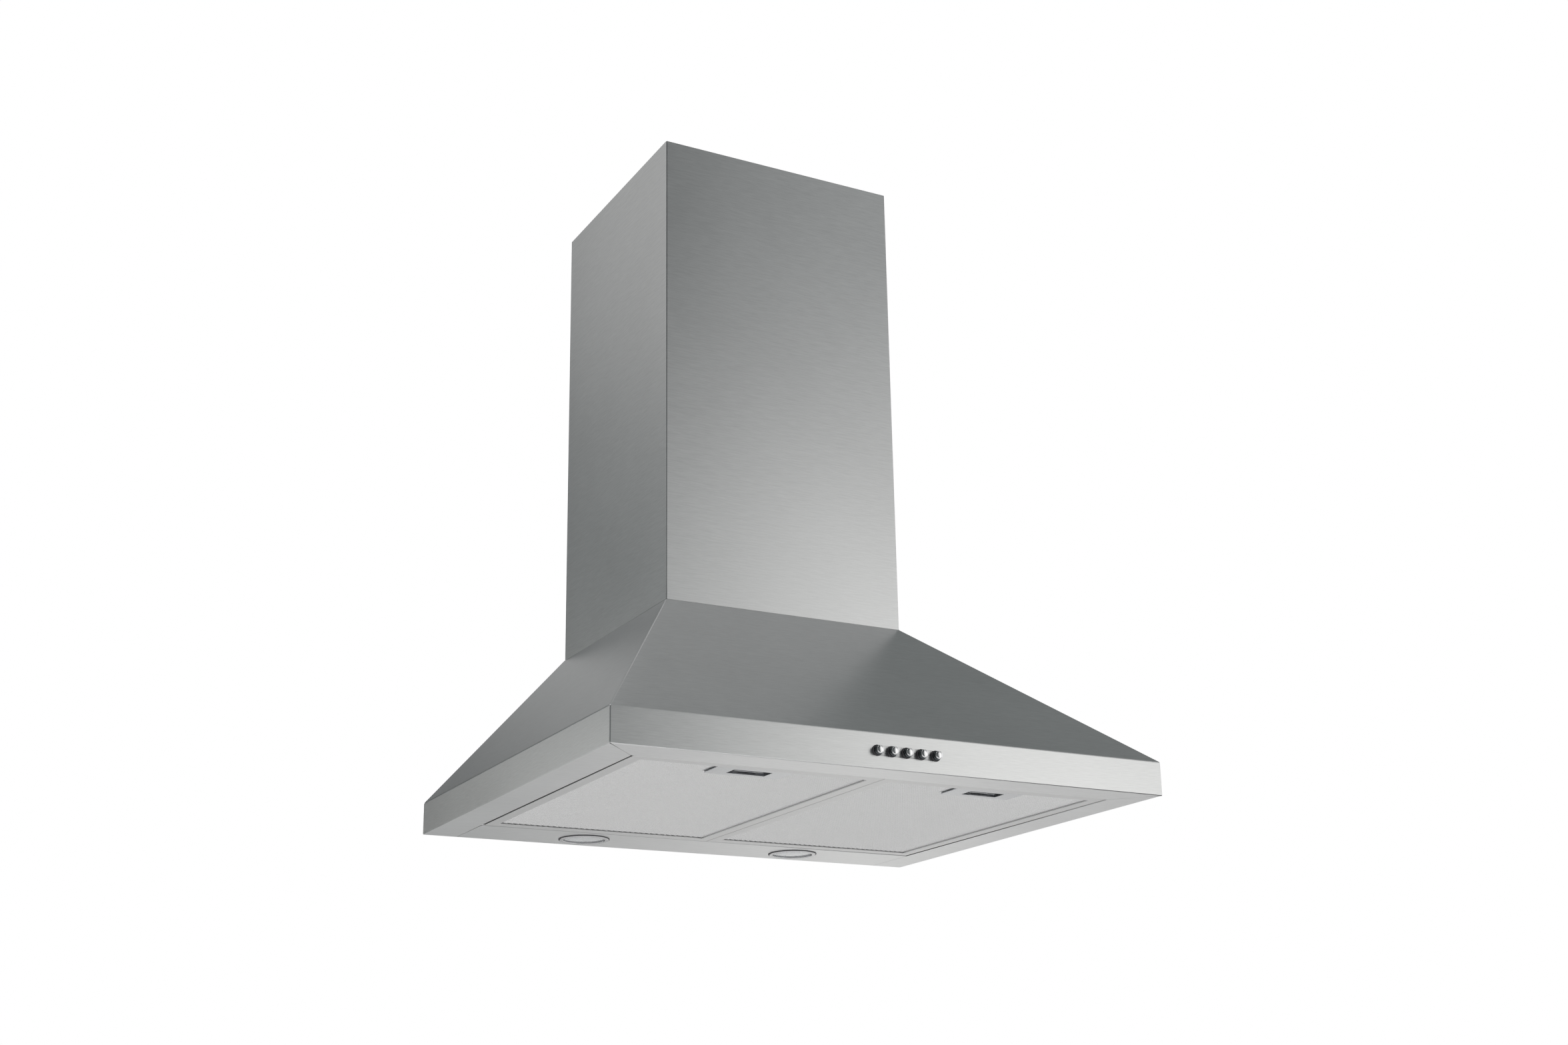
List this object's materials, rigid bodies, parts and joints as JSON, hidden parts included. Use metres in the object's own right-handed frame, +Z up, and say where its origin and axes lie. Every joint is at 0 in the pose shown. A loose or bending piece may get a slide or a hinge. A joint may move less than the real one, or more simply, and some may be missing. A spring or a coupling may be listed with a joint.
{
  "type": "chimney range hood",
  "caption": "Wall-mounted chimney range hood: pyramid canopy with a telescoping duct cover, swing-down grease filters, recessed lamps, push buttons and a blower inside.",
  "frame": {"origin": "on the wall plane, midway between the two lower wall screw holes of the back plate", "axes": "+X to the right as seen from the front, +Y into the wall, +Z up along the chimney"},
  "size_m": [0.6, 0.5078, 0.7386],
  "materials": {
    "stainless": "satin",
    "zinc_steel": "satin",
    "filter_aluminium": "satin",
    "filter_mat": "matte",
    "latch_plastic": "satin",
    "chrome": "polished",
    "glass": "gloss",
    "reflector": "polished",
    "ceramic": "matte",
    "black_plastic": "matte",
    "grey_plastic": "matte",
    "motor_can": "satin",
    "shaft_steel": "gloss",
    "rubber": "matte",
    "screws": "gloss"
  },
  "bodies": {
    "hood": {"canopy_shell": "stainless", "back_plate": "zinc_steel", "lamp_strip": "stainless", "lower_chimney_cover": "stainless", "blower_case": "zinc_steel", "case_screws": "screws", "capacitor": "grey_plastic", "scroll_half_left": "black_plastic", "scroll_half_right": "black_plastic", "inlet_grille": "zinc_steel", "motor": "motor_can", "motor_bracket": "zinc_steel", "motor_dampers": "rubber", "motor_screws": "screws", "duct_collar": "black_plastic", "flap_pins": "shaft_steel", "collar_screws": "screws", "junction_box": "black_plastic", "junction_lid": "black_plastic", "junction_screws": "screws", "cable_gland": "black_plastic", "button_rings": "black_plastic", "switch_block": "black_plastic", "lamp_bezel_left": "chrome", "lamp_glass_left": "glass", "lamp_bulb_left": "reflector", "lampholder_left": "ceramic", "lamp_bezel_right": "chrome", "lamp_glass_right": "glass", "lamp_bulb_right": "reflector", "lampholder_right": "ceramic"},
    "upper_chimney": {"upper_chimney_cover": "stainless", "chimney_wall_bracket": "zinc_steel"},
    "wheel": {"impeller": "grey_plastic", "impeller_blades_left": "grey_plastic", "impeller_blades_right": "grey_plastic", "motor_shaft": "shaft_steel"},
    "flap_rear": {"outlet_flap_rear": "grey_plastic"},
    "flap_front": {"outlet_flap_front": "grey_plastic"},
    "button_1": {"button_1": "chrome"},
    "button_2": {"button_2": "chrome"},
    "button_3": {"button_3": "chrome"},
    "button_4": {"button_4": "chrome"},
    "button_5": {"button_5": "chrome"},
    "filter_left": {"filter_frame_left": "filter_aluminium", "filter_mesh_left": "filter_aluminium", "filter_back_mesh_left": "filter_aluminium", "filter_mat_left": "filter_mat", "latch_cup_left": "latch_plastic", "latch_spring_left": "shaft_steel"},
    "latch_left": {"latch_slider_left": "latch_plastic"},
    "filter_right": {"filter_frame_right": "filter_aluminium", "filter_mesh_right": "filter_aluminium", "filter_back_mesh_right": "filter_aluminium", "filter_mat_right": "filter_mat", "latch_cup_right": "latch_plastic", "latch_spring_right": "shaft_steel"},
    "latch_right": {"latch_slider_right": "latch_plastic"}
  },
  "joints": [
    {"name": "upper_chimney_slide", "type": "slide", "parent": "hood", "child": "upper_chimney", "axis": [0, 0, 1], "range_m": [0, 0.4]},
    {"name": "fan_spin", "type": "hinge", "parent": "hood", "child": "wheel", "pos_m": [0, -0.152, 0.27], "axis": [1, 0, 0], "continuous": true},
    {"name": "flap_rear_lift", "type": "hinge", "parent": "hood", "child": "flap_rear", "pos_m": [0, -0.129, 0.435], "axis": [1, 0, 0], "range_deg": [0, 80]},
    {"name": "flap_front_lift", "type": "hinge", "parent": "hood", "child": "flap_front", "pos_m": [0, -0.143, 0.435], "axis": [-1, 0, 0], "range_deg": [0, 80]},
    {"name": "button_1_press", "type": "slide", "parent": "hood", "child": "button_1", "axis": [0, 1, 0], "range_m": [0, 0.004], "stiffness_N_per_m": 500, "springref_m": -0.001},
    {"name": "button_2_press", "type": "slide", "parent": "hood", "child": "button_2", "axis": [0, 1, 0], "range_m": [0, 0.004], "stiffness_N_per_m": 500, "springref_m": -0.001},
    {"name": "button_3_press", "type": "slide", "parent": "hood", "child": "button_3", "axis": [0, 1, 0], "range_m": [0, 0.004], "stiffness_N_per_m": 500, "springref_m": -0.001},
    {"name": "button_4_press", "type": "slide", "parent": "hood", "child": "button_4", "axis": [0, 1, 0], "range_m": [0, 0.004], "stiffness_N_per_m": 500, "springref_m": -0.001},
    {"name": "button_5_press", "type": "slide", "parent": "hood", "child": "button_5", "axis": [0, 1, 0], "range_m": [0, 0.004], "stiffness_N_per_m": 500, "springref_m": -0.001},
    {"name": "filter_left_swing", "type": "hinge", "parent": "hood", "child": "filter_left", "pos_m": [-0.12995, -0.0795, -0.06], "axis": [1, 0, 0], "range_deg": [0, 75]},
    {"name": "latch_left_pull", "type": "slide", "parent": "filter_left", "child": "latch_left", "axis": [0, 1, 0], "range_m": [0, 0.005], "stiffness_N_per_m": 500, "springref_m": -0.002, "deforming": ["latch_spring_left"]},
    {"name": "filter_right_swing", "type": "hinge", "parent": "hood", "child": "filter_right", "pos_m": [0.12995, -0.0795, -0.06], "axis": [1, 0, 0], "range_deg": [0, 75]},
    {"name": "latch_right_pull", "type": "slide", "parent": "filter_right", "child": "latch_right", "axis": [0, 1, 0], "range_m": [0, 0.005], "stiffness_N_per_m": 500, "springref_m": -0.002, "deforming": ["latch_spring_right"]}
  ]
}
